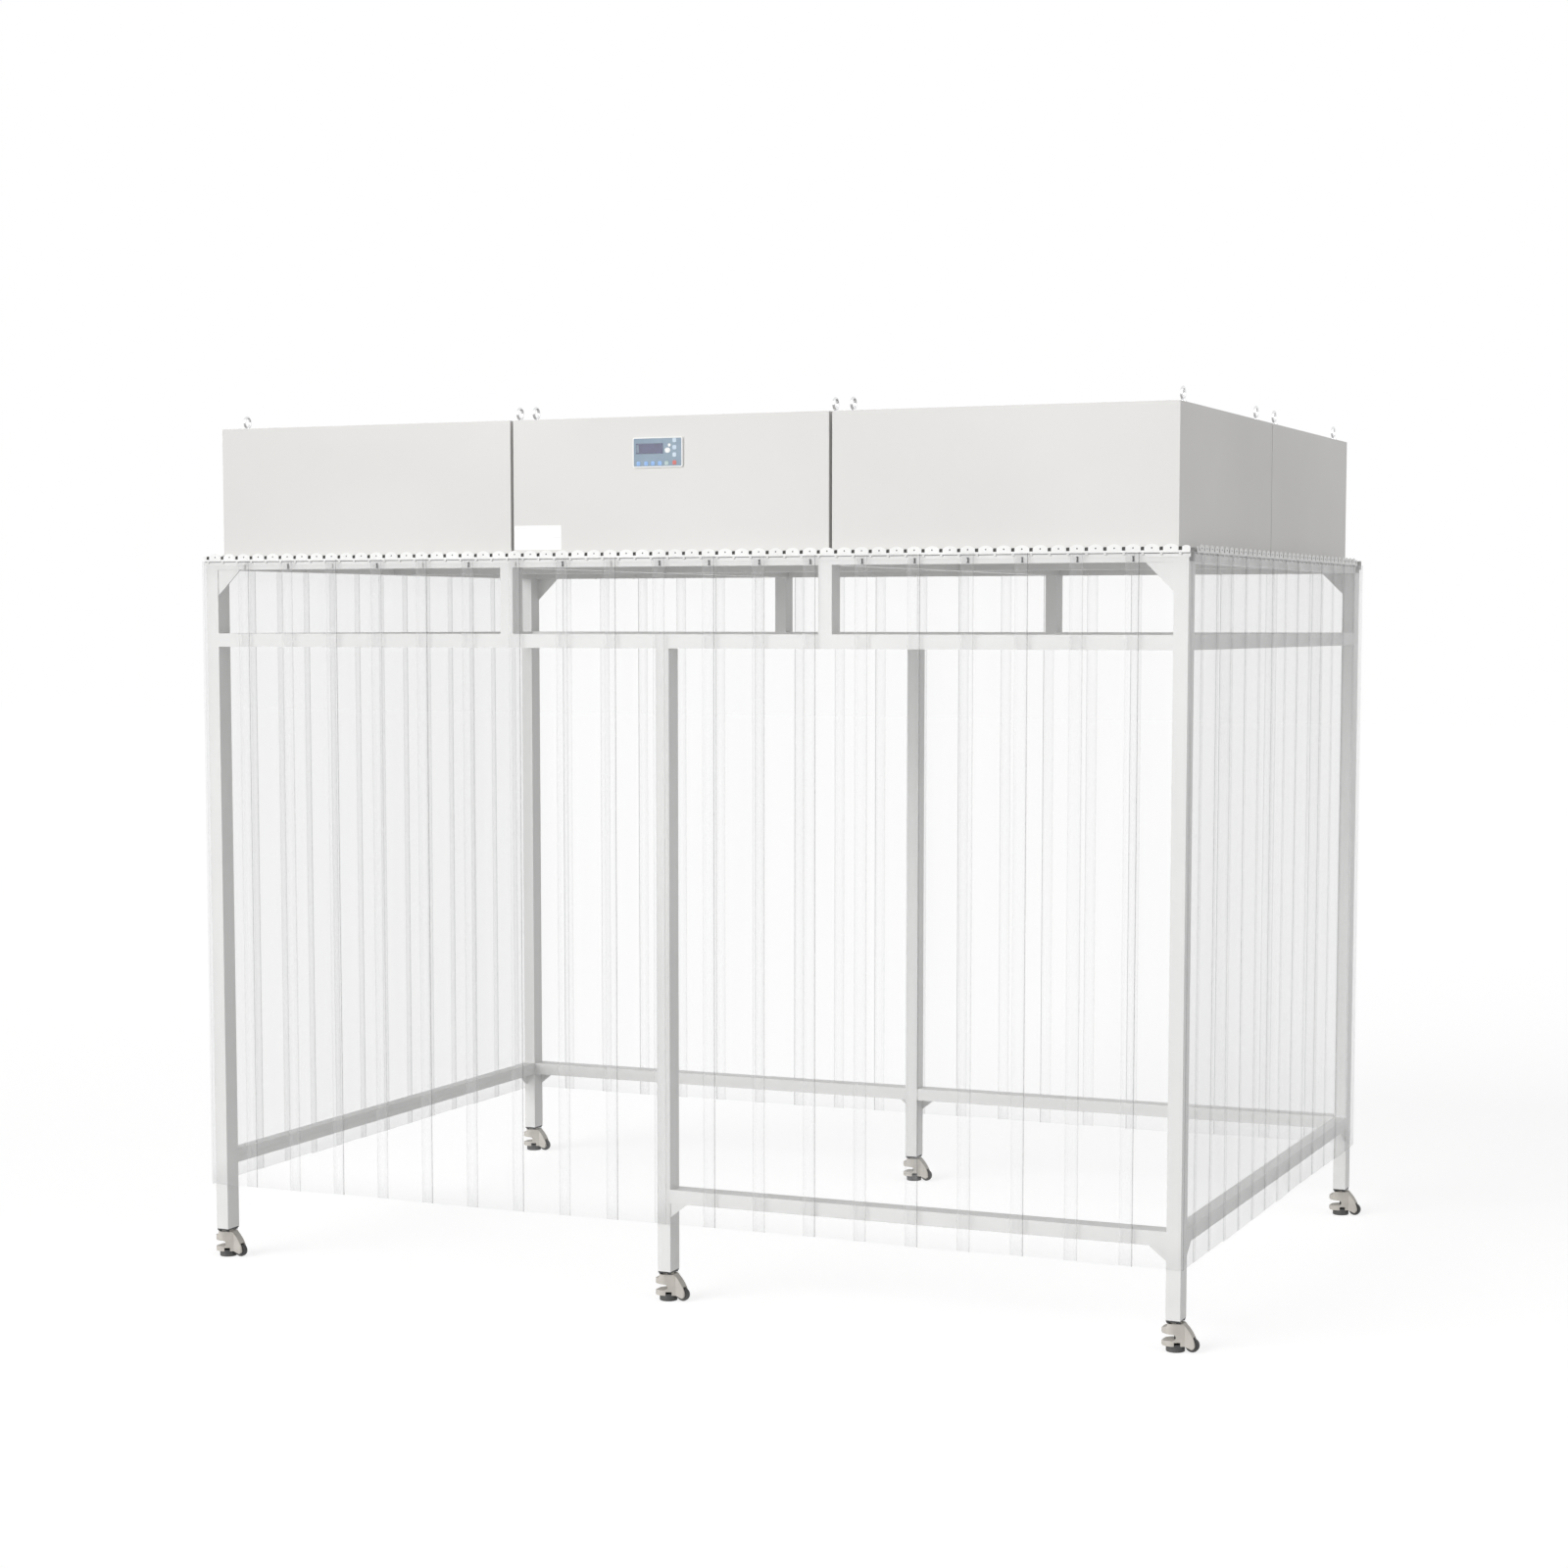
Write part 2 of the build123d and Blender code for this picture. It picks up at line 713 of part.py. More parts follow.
def write_frame():
    """Posts, rails, beams, studs and gussets."""
    for row, side in POST_PLACES:
        write(post(row, side), f"{row}_{side}_post")
    write(long_top_beams(), "front_and_back_top_beams")
    write(side_top_beams(), "side_top_beams")
    write(ceiling_beams(), "ceiling_beams")
    write(mid_rail("front"), "front_mid_rail")
    write(mid_rail("back"), "back_mid_rail")
    write(side_rails(mid_rail_height), "side_mid_rails")
    write(bottom_rail("front", tube_face / 2, frame_length / 2 - tube_face), "front_bottom_rail")
    write(back_bottom_rails(), "back_bottom_rails")
    write(side_rails(bottom_rail_height), "side_bottom_rails")
    write(header_studs(), "header_studs")
    write(upper_gussets(), "upper_gussets")
    write(lower_gussets(), "lower_gussets")


def write_curtains():
    """Hook rails and the four curtains."""
    write(hook_rails(LONG_SIDES), "front_and_back_hook_rails")
    write(hook_rails(("left", "right")), "side_hook_rails")
    for side in ("front", "back", "left", "right"):
        write(place_on(side) * strips(side), f"{side}_curtain")


def write_units():
    """The six units: casings and impellers as their own nodes, the rest as groups."""
    fan = impeller()
    shell = casing()
    for n, (x, y) in enumerate(unit_places()):
        row = "front" if n < module_columns else "back"
        side = SIDES[n % module_columns]
        write(Pos(x, y, beam_top) * shell, f"{row}_{side}_unit_casing")
        write(Pos(x, y, beam_top) * fan, f"{row}_{side}_fan_impeller")
    write(at_units(fan_motor), "fan_motors")
    write(at_units(filter_pack), "final_filters")
    write(at_units(inlet_cover), "inlet_covers")
    write(eye_bolts(), "lifting_eye_bolts")
    write(control_panel(), "control_panel")


os.makedirs("parts", exist_ok=True)
write_frame()
write_curtains()
write_units()
write_casters()
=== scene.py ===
from math import ceil, pi, radians, sin, tau
from random import Random

import bmesh
import bpy
from mathutils import Matrix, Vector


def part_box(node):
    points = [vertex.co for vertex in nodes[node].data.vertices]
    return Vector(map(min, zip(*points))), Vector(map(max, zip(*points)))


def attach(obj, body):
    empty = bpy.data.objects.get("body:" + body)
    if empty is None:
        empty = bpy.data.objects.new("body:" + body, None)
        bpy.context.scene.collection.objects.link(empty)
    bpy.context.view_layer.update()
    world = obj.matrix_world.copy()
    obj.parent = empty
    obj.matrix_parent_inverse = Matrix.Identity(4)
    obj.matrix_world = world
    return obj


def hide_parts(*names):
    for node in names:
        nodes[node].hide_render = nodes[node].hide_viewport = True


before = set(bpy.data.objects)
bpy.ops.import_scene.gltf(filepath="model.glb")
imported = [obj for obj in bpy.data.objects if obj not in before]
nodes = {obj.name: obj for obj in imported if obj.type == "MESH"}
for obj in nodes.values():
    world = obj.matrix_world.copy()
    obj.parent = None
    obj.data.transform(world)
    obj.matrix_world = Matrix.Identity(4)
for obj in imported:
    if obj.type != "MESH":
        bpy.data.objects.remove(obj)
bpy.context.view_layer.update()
scene = bpy.context.scene
mm = 0.001
print("frame loaded:", len(nodes), "nodes")

# Camera, floor and light

camera = {
    "place": (4.4466, -10.5735, 2.4115),
    "turn": 0.40944,
    "pitch": 0.08436,
    "lens": 67.477,
    "film": 36.0,
    "shiftX": 0.00614,
    "shiftY": 0.05565,
}
light = {
    "skyOnObject": 0.30,
    "suns": {
        "window_light": {
            "strength": 2.34, "size": radians(50), "height": radians(16), "fromLeft": radians(30),
        },
        "side_light": {
            "strength": 0.62, "size": radians(60), "height": radians(15), "fromLeft": radians(-75),
        },
    },
    "floorSize": 120.0,
    "floorShade": 0.46,
}


def makeCamera():
    data = bpy.data.cameras.new("camera")
    data.sensor_width = camera["film"]
    data.lens = camera["lens"]
    data.shift_x = camera["shiftX"]
    data.shift_y = camera["shiftY"]
    data.clip_end = 300.0
    eye = bpy.data.objects.new("camera", data)
    eye.location = camera["place"]
    eye.rotation_euler = (pi / 2 - camera["pitch"], 0, camera["turn"])
    scene.collection.objects.link(eye)
    scene.camera = eye


# Small helpers for shader trees

def add(tree, kind, **settings):
    node = tree.nodes.new(kind)
    for key, value in settings.items():
        setattr(node, key, value)
    return node


def wire(tree, source, target):
    tree.links.new(source, target)


def seenDirectly(tree):
    # 1 for what the camera, a gloss or clear film sees, 0 for light on the object
    path = add(tree, "ShaderNodeLightPath")
    first = add(tree, "ShaderNodeMath", operation="MAXIMUM")
    both = add(tree, "ShaderNodeMath", operation="MAXIMUM")
    wire(tree, path.outputs["Is Camera Ray"], first.inputs[0])
    wire(tree, path.outputs["Is Glossy Ray"], first.inputs[1])
    wire(tree, first.outputs[0], both.inputs[0])
    wire(tree, path.outputs["Is Transmission Ray"], both.inputs[1])
    return both.outputs[0]


def makeSky():
    world = bpy.data.worlds.new("white_room")
    scene.world = world
    world.use_nodes = True
    tree = world.node_tree
    tree.nodes.clear()
    onObject = add(tree, "ShaderNodeBackground")
    onObject.inputs["Strength"].default_value = light["skyOnObject"]
    seen = add(tree, "ShaderNodeBackground")
    for background in (onObject, seen):
        background.inputs["Color"].default_value = (1, 1, 1, 1)
    mix = add(tree, "ShaderNodeMixShader")
    end = add(tree, "ShaderNodeOutputWorld")
    wire(tree, seenDirectly(tree), mix.inputs[0])
    wire(tree, onObject.outputs[0], mix.inputs[1])
    wire(tree, seen.outputs[0], mix.inputs[2])
    wire(tree, mix.outputs[0], end.inputs[0])


def openFloorLight():
    # what a floor far from the booth gets, on the scale where 1 is white
    suns = sum(sun["strength"] * sin(sun["height"]) for sun in light["suns"].values()) / pi
    return light["skyOnObject"] + suns


def makeFloor():
    # seen as white where nothing shades it, and darker by its share of the light that is missing
    material = bpy.data.materials.new("floor_white")
    material.use_nodes = True
    tree = material.node_tree
    tree.nodes.clear()
    plain = add(tree, "ShaderNodeBsdfDiffuse")
    plain.inputs["Color"].default_value = (0.8, 0.8, 0.8, 1)
    shade = add(tree, "ShaderNodeBsdfDiffuse")
    shade.inputs["Color"].default_value = (light["floorShade"],) * 3 + (1,)
    glow = add(tree, "ShaderNodeEmission")
    glow.inputs["Strength"].default_value = 1 - light["floorShade"] * openFloorLight()
    both = add(tree, "ShaderNodeAddShader")
    mix = add(tree, "ShaderNodeMixShader")
    end = add(tree, "ShaderNodeOutputMaterial")
    wire(tree, shade.outputs[0], both.inputs[0])
    wire(tree, glow.outputs[0], both.inputs[1])
    wire(tree, seenDirectly(tree), mix.inputs[0])
    wire(tree, plain.outputs[0], mix.inputs[1])
    wire(tree, both.outputs[0], mix.inputs[2])
    wire(tree, mix.outputs[0], end.inputs[0])
    bm = bmesh.new()
    bmesh.ops.create_grid(bm, x_segments=1, y_segments=1, size=light["floorSize"] / 2)
    mesh = bpy.data.meshes.new("floor")
    bm.to_mesh(mesh)
    bm.free()
    mesh.materials.append(material)
    floor = bpy.data.objects.new("floor", mesh)
    scene.collection.objects.link(floor)


def makeSuns():
    for name, settings in light["suns"].items():
        data = bpy.data.lights.new(name, "SUN")
        data.energy = settings["strength"]
        data.angle = settings["size"]
        sun = bpy.data.objects.new(name, data)
        sun.rotation_euler = (pi / 2 - settings["height"], 0, -settings["fromLeft"])
        scene.collection.objects.link(sun)


makeCamera()
makeSky()
makeFloor()
makeSuns()
scene.view_settings.view_transform = "Standard"
scene.cycles.transparent_max_bounces = 32  # a view through four curtains crosses many film faces
print("camera, floor and light made")

# Shader groups that several finishes share

def newGroup(name, inputs, outputs):
    group = bpy.data.node_groups.new(name, "ShaderNodeTree")
    for socketName, kind, value in inputs:
        socket = group.interface.new_socket(socketName, in_out="INPUT", socket_type=kind)
        if value is not None:
            socket.default_value = value
    for socketName, kind in outputs:
        group.interface.new_socket(socketName, in_out="OUTPUT", socket_type=kind)
    start = add(group, "NodeGroupInput")
    end = add(group, "NodeGroupOutput")
    return group, start.outputs, end.inputs


def objectNoise(tree, scale, detail=3.0, stretch=(1, 1, 1)):
    coords = add(tree, "ShaderNodeTexCoord")
    mapping = add(tree, "ShaderNodeMapping")
    mapping.inputs["Scale"].default_value = stretch
    noise = add(tree, "ShaderNodeTexNoise")
    noise.inputs["Detail"].default_value = detail
    wire(tree, coords.outputs["Object"], mapping.inputs["Vector"])
    wire(tree, mapping.outputs[0], noise.inputs["Vector"])
    if isinstance(scale, float):
        noise.inputs["Scale"].default_value = scale
    else:
        wire(tree, scale, noise.inputs["Scale"])
    return noise.outputs["Fac"]


def between(tree, value, low, high, toLow=0.0, toHigh=1.0, smooth=False):
    node = add(tree, "ShaderNodeMapRange", interpolation_type="SMOOTHSTEP" if smooth else "LINEAR")
    wire(tree, value, node.inputs["Value"])
    for socket, amount in zip(("From Min", "From Max", "To Min", "To Max"), (low, high, toLow, toHigh)):
        if isinstance(amount, (int, float)):
            node.inputs[socket].default_value = amount
        else:
            wire(tree, amount, node.inputs[socket])
    return node.outputs["Result"]


def blended(tree, factor, low, high):
    mix = add(tree, "ShaderNodeMix", data_type="RGBA")
    wire(tree, factor, mix.inputs["Factor"])
    for socket, colour in zip((mix.inputs[6], mix.inputs[7]), (low, high)):
        if isinstance(colour, tuple):
            socket.default_value = colour
        else:
            wire(tree, colour, socket)
    return mix.outputs[2]


def calc(tree, operation, a, b):
    node = add(tree, "ShaderNodeMath", operation=operation)
    for socket, value in zip(node.inputs, (a, b)):
        if isinstance(value, (int, float)):
            socket.default_value = value
        else:
            wire(tree, value, socket)
    return node.outputs[0]


def coatGroup():
    # powder coat: faint patches of tone, a fine peel in its gloss and height
    group, given, made = newGroup("powder_coat", [
        ("Light", "NodeSocketColor", (0.8, 0.8, 0.8, 1)),
        ("Dark", "NodeSocketColor", (0.7, 0.7, 0.7, 1)),
        ("Patch Scale", "NodeSocketFloat", 1.5),
        ("Peel Scale", "NodeSocketFloat", 350.0),
        ("Gloss Low", "NodeSocketFloat", 0.38),
        ("Gloss High", "NodeSocketFloat", 0.52),
    ], [("Color", "NodeSocketColor"), ("Roughness", "NodeSocketFloat"), ("Height", "NodeSocketFloat")])
    patch = objectNoise(group, given["Patch Scale"], 4.0)
    peel = objectNoise(group, given["Peel Scale"], 2.0)
    wire(group, blended(group, between(group, patch, 0.35, 0.65), given["Light"], given["Dark"]), made["Color"])
    wire(group, between(group, patch, 0.3, 0.7, given["Gloss Low"], given["Gloss High"]), made["Roughness"])
    wire(group, peel, made["Height"])
    return group


def floorDustGroup():
    # dust and scuffs that thin out with height over the floor
    group, given, made = newGroup("floor_dust", [
        ("Color", "NodeSocketColor", (0.8, 0.8, 0.8, 1)),
        ("Dust", "NodeSocketColor", (0.55, 0.53, 0.5, 1)),
        ("Top", "NodeSocketFloat", 0.35),
        ("Amount", "NodeSocketFloat", 0.3),
    ], [("Color", "NodeSocketColor"), ("Mask", "NodeSocketFloat")])
    coords = add(group, "ShaderNodeTexCoord")
    parts = add(group, "ShaderNodeSeparateXYZ")
    wire(group, coords.outputs["Object"], parts.inputs[0])
    low = between(group, parts.outputs["Z"], given["Top"], 0.0)
    cloud = between(group, objectNoise(group, 14.0, 5.0), 0.35, 0.75)
    mask = calc(group, "MULTIPLY", calc(group, "MULTIPLY", low, cloud), given["Amount"])
    wire(group, blended(group, mask, given["Color"], given["Dust"]), made["Color"])
    wire(group, mask, made["Mask"])
    return group


def grainGroup():
    # rolled or turned metal: fine lines drawn out along one direction
    group, given, made = newGroup("metal_grain", [
        ("Light", "NodeSocketColor", (0.8, 0.8, 0.8, 1)),
        ("Dark", "NodeSocketColor", (0.6, 0.6, 0.6, 1)),
        ("Scale", "NodeSocketFloat", 60.0),
        ("Gloss Low", "NodeSocketFloat", 0.2),
        ("Gloss High", "NodeSocketFloat", 0.35),
    ], [("Color", "NodeSocketColor"), ("Roughness", "NodeSocketFloat"), ("Height", "NodeSocketFloat")])
    lines = objectNoise(group, given["Scale"], 3.0, (1, 1, 14))
    spread = between(group, lines, 0.3, 0.7)
    wire(group, blended(group, spread, given["Light"], given["Dark"]), made["Color"])
    wire(group, between(group, lines, 0.3, 0.7, given["Gloss Low"], given["Gloss High"]), made["Roughness"])
    wire(group, lines, made["Height"])
    return group


def castGroup():
    # cast skin: pebbled height, tone that follows it
    group, given, made = newGroup("cast_skin", [
        ("Light", "NodeSocketColor", (0.6, 0.58, 0.54, 1)),
        ("Dark", "NodeSocketColor", (0.5, 0.48, 0.44, 1)),
        ("Scale", "NodeSocketFloat", 420.0),
    ], [("Color", "NodeSocketColor"), ("Roughness", "NodeSocketFloat"), ("Height", "NodeSocketFloat")])
    pebble = objectNoise(group, given["Scale"], 4.0)
    cloud = objectNoise(group, 26.0, 3.0)
    wire(group, blended(group, between(group, cloud, 0.3, 0.7), given["Light"], given["Dark"]), made["Color"])
    wire(group, between(group, pebble, 0.3, 0.7, 0.42, 0.62), made["Roughness"])
    wire(group, pebble, made["Height"])
    return group


powderCoat = coatGroup()
floorDust = floorDustGroup()
metalGrain = grainGroup()
castSkin = castGroup()


def place(tree, group, **values):
    node = add(tree, "ShaderNodeGroup")
    node.node_tree = group
    for key, value in values.items():
        node.inputs[key.replace("_", " ")].default_value = value
    return node


def tone(*parts):
    return tuple(parts) + (1,)


def newFinish(name, **constants):
    material = bpy.data.materials.new(name)
    material.use_nodes = True
    shader = material.node_tree.nodes["Principled BSDF"]
    for key, value in constants.items():
        shader.inputs[key.replace("_", " ")].default_value = value
    return material, material.node_tree, shader.inputs


def bumpFrom(tree, height, target, strength, distance):
    bump = add(tree, "ShaderNodeBump")
    bump.inputs["Strength"].default_value = strength
    bump.inputs["Distance"].default_value = distance
    wire(tree, height, bump.inputs["Height"])
    wire(tree, bump.outputs["Normal"], target)


def coated(name, lightTone, darkTone, gloss, patch=1.5, peel=350.0, dust=0.0, dustTop=0.35):
    material, tree, shader = newFinish(name, IOR=1.5)
    coat = place(tree, powderCoat, Light=lightTone, Dark=darkTone, Patch_Scale=patch, Peel_Scale=peel,
                 Gloss_Low=gloss[0], Gloss_High=gloss[1])
    colour = coat.outputs["Color"]
    if dust:
        grime = place(tree, floorDust, Amount=dust, Top=dustTop)
        wire(tree, colour, grime.inputs["Color"])
        colour = grime.outputs["Color"]
    wire(tree, colour, shader["Base Color"])
    wire(tree, coat.outputs["Roughness"], shader["Roughness"])
    bumpFrom(tree, coat.outputs["Height"], shader["Normal"], 0.25, 0.15 * mm)
    return material


def metal(name, lightTone, darkTone, gloss, scale=60.0):
    material, tree, shader = newFinish(name, Metallic=1.0)
    grain = place(tree, metalGrain, Light=lightTone, Dark=darkTone, Scale=scale,
                  Gloss_Low=gloss[0], Gloss_High=gloss[1])
    wire(tree, grain.outputs["Color"], shader["Base Color"])
    wire(tree, grain.outputs["Roughness"], shader["Roughness"])
    bumpFrom(tree, grain.outputs["Height"], shader["Normal"], 0.2, 0.05 * mm)
    return material


def casting(name, lightTone, darkTone):
    material, tree, shader = newFinish(name, IOR=1.5)
    skin = place(tree, castSkin, Light=lightTone, Dark=darkTone)
    grime = place(tree, floorDust, Amount=0.25, Top=0.12)
    wire(tree, skin.outputs["Color"], grime.inputs["Color"])
    wire(tree, grime.outputs["Color"], shader["Base Color"])
    wire(tree, skin.outputs["Roughness"], shader["Roughness"])
    bumpFrom(tree, skin.outputs["Height"], shader["Normal"], 0.5, 0.25 * mm)
    return material


def rubber(name, lightTone, darkTone):
    material, tree, shader = newFinish(name, IOR=1.5)
    skin = place(tree, castSkin, Light=lightTone, Dark=darkTone, Scale=900.0)
    grime = place(tree, floorDust, Amount=0.35, Top=0.05, Dust=tone(0.3, 0.29, 0.27))
    wire(tree, skin.outputs["Color"], grime.inputs["Color"])
    wire(tree, grime.outputs["Color"], shader["Base Color"])
    wire(tree, skin.outputs["Roughness"], shader["Roughness"])
    bumpFrom(tree, skin.outputs["Height"], shader["Normal"], 0.4, 0.15 * mm)
    return material


def filterPaper():
    # pleats 4 mm apart along the pack, softened by the weave of the paper; their bands also darken the paper's
    # colour in the folds, which is painted shade
    material, tree, shader = newFinish("filter_paper", IOR=1.45)
    coords = add(tree, "ShaderNodeTexCoord")
    pleats = add(tree, "ShaderNodeTexWave", wave_type="BANDS", bands_direction="X")
    pleats.inputs["Scale"].default_value = 40.0
    pleats.inputs["Distortion"].default_value = 0.3
    wire(tree, coords.outputs["Object"], pleats.inputs["Vector"])
    weave = objectNoise(tree, 700.0, 2.0)
    # painted shade: the pleat bands darken the base colour in the folds
    wire(tree, blended(tree, pleats.outputs["Fac"], tone(0.66, 0.66, 0.64), tone(0.86, 0.86, 0.84)),
         shader["Base Color"])
    wire(tree, between(tree, weave, 0.3, 0.7, 0.75, 0.95), shader["Roughness"])
    bumpFrom(tree, pleats.outputs["Fac"], shader["Normal"], 0.6, 2 * mm)
    return material


film = {
    "tint": (0.84, 0.84, 0.85, 1),
    "edgeTint": (0.26, 0.265, 0.27, 1),
    "clear": 0.026,
    "streaks": 0.014,
    "veil": 0.15,
    "outerEdge": 0.22,
    "innerEdge": 0.045,
    "edgeBand": 3.5 * mm,
    "weakEdge": 0.45,
}


def clearFilm(stripWidth):
    # clear vinyl: its face hardly shows but for a veil at a low angle, its long edges do, the outer one more
    material, tree, shader = newFinish("clear_film", IOR=1.5)
    uv = add(tree, "ShaderNodeUVMap", uv_map="strip")
    parts = add(tree, "ShaderNodeSeparateXYZ")
    wire(tree, uv.outputs[0], parts.inputs[0])
    across = parts.outputs["X"]
    band = film["edgeBand"] / stripWidth
    outer = between(tree, across, 1 - band, 1 - band / 2, 0.0, film["outerEdge"], smooth=True)
    inner = between(tree, across, band, band / 2, 0.0, film["innerEdge"], smooth=True)
    weight = add(tree, "ShaderNodeAttribute", attribute_name="line_weight").outputs["Fac"]
    edge = calc(tree, "MULTIPLY", calc(tree, "ADD", outer, inner), weight)
    pulled = objectNoise(tree, 9.0, 3.0, (1, 1, 0.05))
    body = between(tree, pulled, 0.35, 0.7, film["clear"], film["clear"] + film["streaks"])
    slant = add(tree, "ShaderNodeLayerWeight")
    slant.inputs["Blend"].default_value = 0.5
    veil = between(tree, slant.outputs["Facing"], 0.25, 0.75, 0.0, film["veil"])
    wire(tree, calc(tree, "ADD", calc(tree, "ADD", body, veil), edge), shader["Alpha"])
    wire(tree, blended(tree, between(tree, edge, 0.0, film["outerEdge"]), film["tint"], film["edgeTint"]),
         shader["Base Color"])
    wire(tree, between(tree, pulled, 0.3, 0.7, 0.12, 0.22), shader["Roughness"])
    bumpFrom(tree, pulled, shader["Normal"], 0.3, 1 * mm)
    return material


frameWhite = coated("frame_white", tone(0.83, 0.83, 0.82), tone(0.80, 0.80, 0.79), (0.36, 0.48),
                    dust=0.18, dustTop=0.5)
casingGrey = coated("casing_grey", tone(0.745, 0.735, 0.72), tone(0.715, 0.705, 0.69), (0.42, 0.52),
                    patch=0.9, peel=300.0)
hookWhite = coated("hook_white", tone(0.90, 0.90, 0.89), tone(0.86, 0.86, 0.85), (0.30, 0.42), 9.0, 500.0)
motorGrey = coated("motor_grey", tone(0.13, 0.14, 0.15), tone(0.10, 0.105, 0.11), (0.4, 0.55), 12.0, 500.0)
blackSteel = coated("black_steel", tone(0.028, 0.028, 0.03), tone(0.018, 0.018, 0.02), (0.35, 0.5),
                    patch=20.0, peel=600.0)
# dark finish for the pads behind the hook gaps: painted shade of the hollow behind the comb
gapShadeDark = coated("gap_painted_shade", tone(0.075, 0.075, 0.07), tone(0.055, 0.055, 0.05), (0.6, 0.8), 30.0, 600.0)
# grey finish for the strip under the hook teeth: painted shadow of the comb
combShadowGrey = coated("comb_painted_shadow_grey", tone(0.28, 0.28, 0.275), tone(0.22, 0.22, 0.215), (0.6, 0.8), 6.0, 500.0)
brightPlate = metal("bright_plate", tone(0.88, 0.88, 0.89), tone(0.72, 0.72, 0.73), (0.10, 0.20), 120.0)
impellerMetal = metal("impeller_metal", tone(0.80, 0.81, 0.82), tone(0.68, 0.69, 0.70), (0.28, 0.42), 40.0)
castBeige = casting("cast_beige", tone(0.60, 0.57, 0.52), tone(0.52, 0.49, 0.45))
wheelBlack = rubber("wheel_black", tone(0.035, 0.035, 0.036), tone(0.022, 0.022, 0.023))
footBlack = rubber("foot_black", tone(0.05, 0.05, 0.052), tone(0.03, 0.03, 0.032))
filterWhite = filterPaper()
print("finishes made")


def finishFor(name):
    if name.endswith(("_post", "_beams", "_rail", "_mid_rails", "_bottom_rails", "_studs", "_gussets")):
        return frameWhite
    if name.endswith("_hook_rails"):
        return hookWhite
    if name.endswith(("_casing", "inlet_covers")):
        return casingGrey
    if name.endswith("_impeller"):
        return impellerMetal
    if name.endswith("_caster_body"):
        return castBeige
    if name.endswith("_caster_wheel"):
        return wheelBlack
    if name.endswith("_caster_foot"):
        return footBlack
    return {
        "fan_motors": motorGrey,
        "final_filters": filterWhite,
        "lifting_eye_bolts": brightPlate,
        "caster_top_plates": blackSteel,
        "control_panel": hookWhite,
    }.get(name)


for name, node in nodes.items():
    finish = finishFor(name)
    if finish:
        node.data.materials.clear()
        node.data.materials.append(finish)

# Places on the frame

beamLow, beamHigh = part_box("front_and_back_top_beams")
centreX = (beamLow.x + beamHigh.x) / 2
halfLength = (beamHigh.x - beamLow.x) / 2
halfWidth = (beamHigh.y - beamLow.y) / 2
turns = {"front": 0, "right": pi / 2, "back": pi, "left": 3 * pi / 2}


def onSide(side):
    # from a face at y = 0 that looks towards -Y to that side of the frame
    depth = halfWidth if side in ("front", "back") else halfLength
    toSide = Matrix.Rotation(turns[side], 4, "Z") @ Matrix.Translation((0, -depth, 0))
    return Matrix.Translation((centreX, 0, 0)) @ toSide


facing = Matrix.Rotation(pi / 2, 4, "X")  # lays a flat pad's top towards -Y


def finished(bm, name, material, body="booth"):
    mesh = bpy.data.meshes.new(name)
    bm.to_mesh(mesh)
    bm.free()
    mesh.materials.append(material)
    piece = bpy.data.objects.new(name, mesh)
    scene.collection.objects.link(piece)
    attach(piece, body)
    return piece


def pad(width, height, thick, corner, edge, steps=3):
    # a flat pad on z = 0, its corners rounded and its upper rim eased
    bm = bmesh.new()
    bmesh.ops.create_cube(bm, size=1.0)
    bmesh.ops.scale(bm, vec=(width, height, thick), verts=bm.verts)
    bmesh.ops.translate(bm, vec=(0, 0, thick / 2), verts=bm.verts)
    upright = [e for e in bm.edges if abs(e.verts[0].co.z - e.verts[1].co.z) > thick / 2]
    bmesh.ops.bevel(bm, geom=upright, offset=corner, offset_type="OFFSET", segments=steps, profile=0.5,
                    affect="EDGES", material=-1)
    rim = [e for e in bm.edges if all(v.co.z > thick / 2 for v in e.verts)]
    bmesh.ops.bevel(bm, geom=rim, offset=edge, offset_type="OFFSET", segments=2, profile=0.5,
                    affect="EDGES", material=-1)
    shape = bpy.data.meshes.new("pad")
    bm.to_mesh(shape)
    bm.free()
    return shape


def stamped(shape, places):
    bm = bmesh.new()
    for matrix in places:
        stamp = shape.copy()
        stamp.transform(matrix)
        bm.from_mesh(stamp)
        bpy.data.meshes.remove(stamp)
    return bm


# Hook rails

